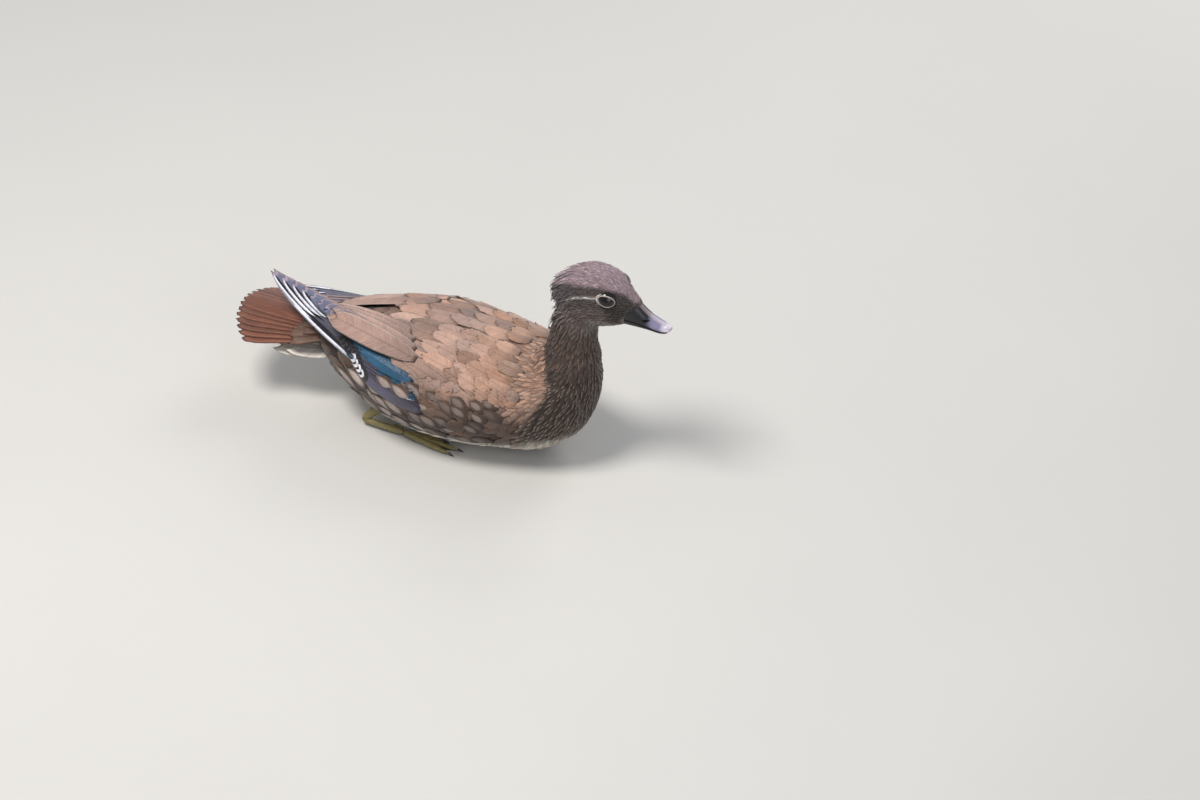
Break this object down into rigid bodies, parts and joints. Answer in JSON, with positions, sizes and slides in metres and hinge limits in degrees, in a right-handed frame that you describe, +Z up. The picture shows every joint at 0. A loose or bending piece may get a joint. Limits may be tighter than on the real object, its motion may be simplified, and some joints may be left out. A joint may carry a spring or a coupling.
{
  "type": "female mandarin duck model",
  "caption": "Life-size still model of a female mandarin duck resting on its belly, head up, wings folded with the tips crossed over the tail, feet tucked under.",
  "frame": {"origin": "the middle of the belly's flat, on the floor", "axes": "+X towards the bill, +Y to the bird's left, +Z up"},
  "size_m": [0.326, 0.1142, 0.1628],
  "materials": {
    "body_feathers": "matt brown plumage, pale oval spots on the flanks, white belly",
    "neck_feathers": "matt dark brown plumage with fine pale streaks",
    "head_feathers": "matt greyish brown plumage, pale ring and line at the eye",
    "wing_feathers": "satin brown vanes, blue-green panel, blue-grey flight feathers with white edges",
    "tail_feathers": "satin rusty brown vanes",
    "bill_horn": "satin dark grey horn with a pale nail",
    "eye": "glossy very dark brown",
    "foot_skin": "satin olive skin with dark webs",
    "claw_horn": "satin dark horn"
  },
  "bodies": {
    "root": {"torso": "body_feathers", "neck": "neck_feathers", "head": "head_feathers", "bill_upper": "bill_horn", "bill_lower": "bill_horn", "tail": "tail_feathers", "eye_left": "eye", "wing_left": "wing_feathers", "foot_left": "foot_skin", "claw_left_inner": "claw_horn", "claw_left_middle": "claw_horn", "claw_left_outer": "claw_horn", "eye_right": "eye", "wing_right": "wing_feathers", "foot_right": "foot_skin", "claw_right_inner": "claw_horn", "claw_right_middle": "claw_horn", "claw_right_outer": "claw_horn"}
  },
  "joints": []
}
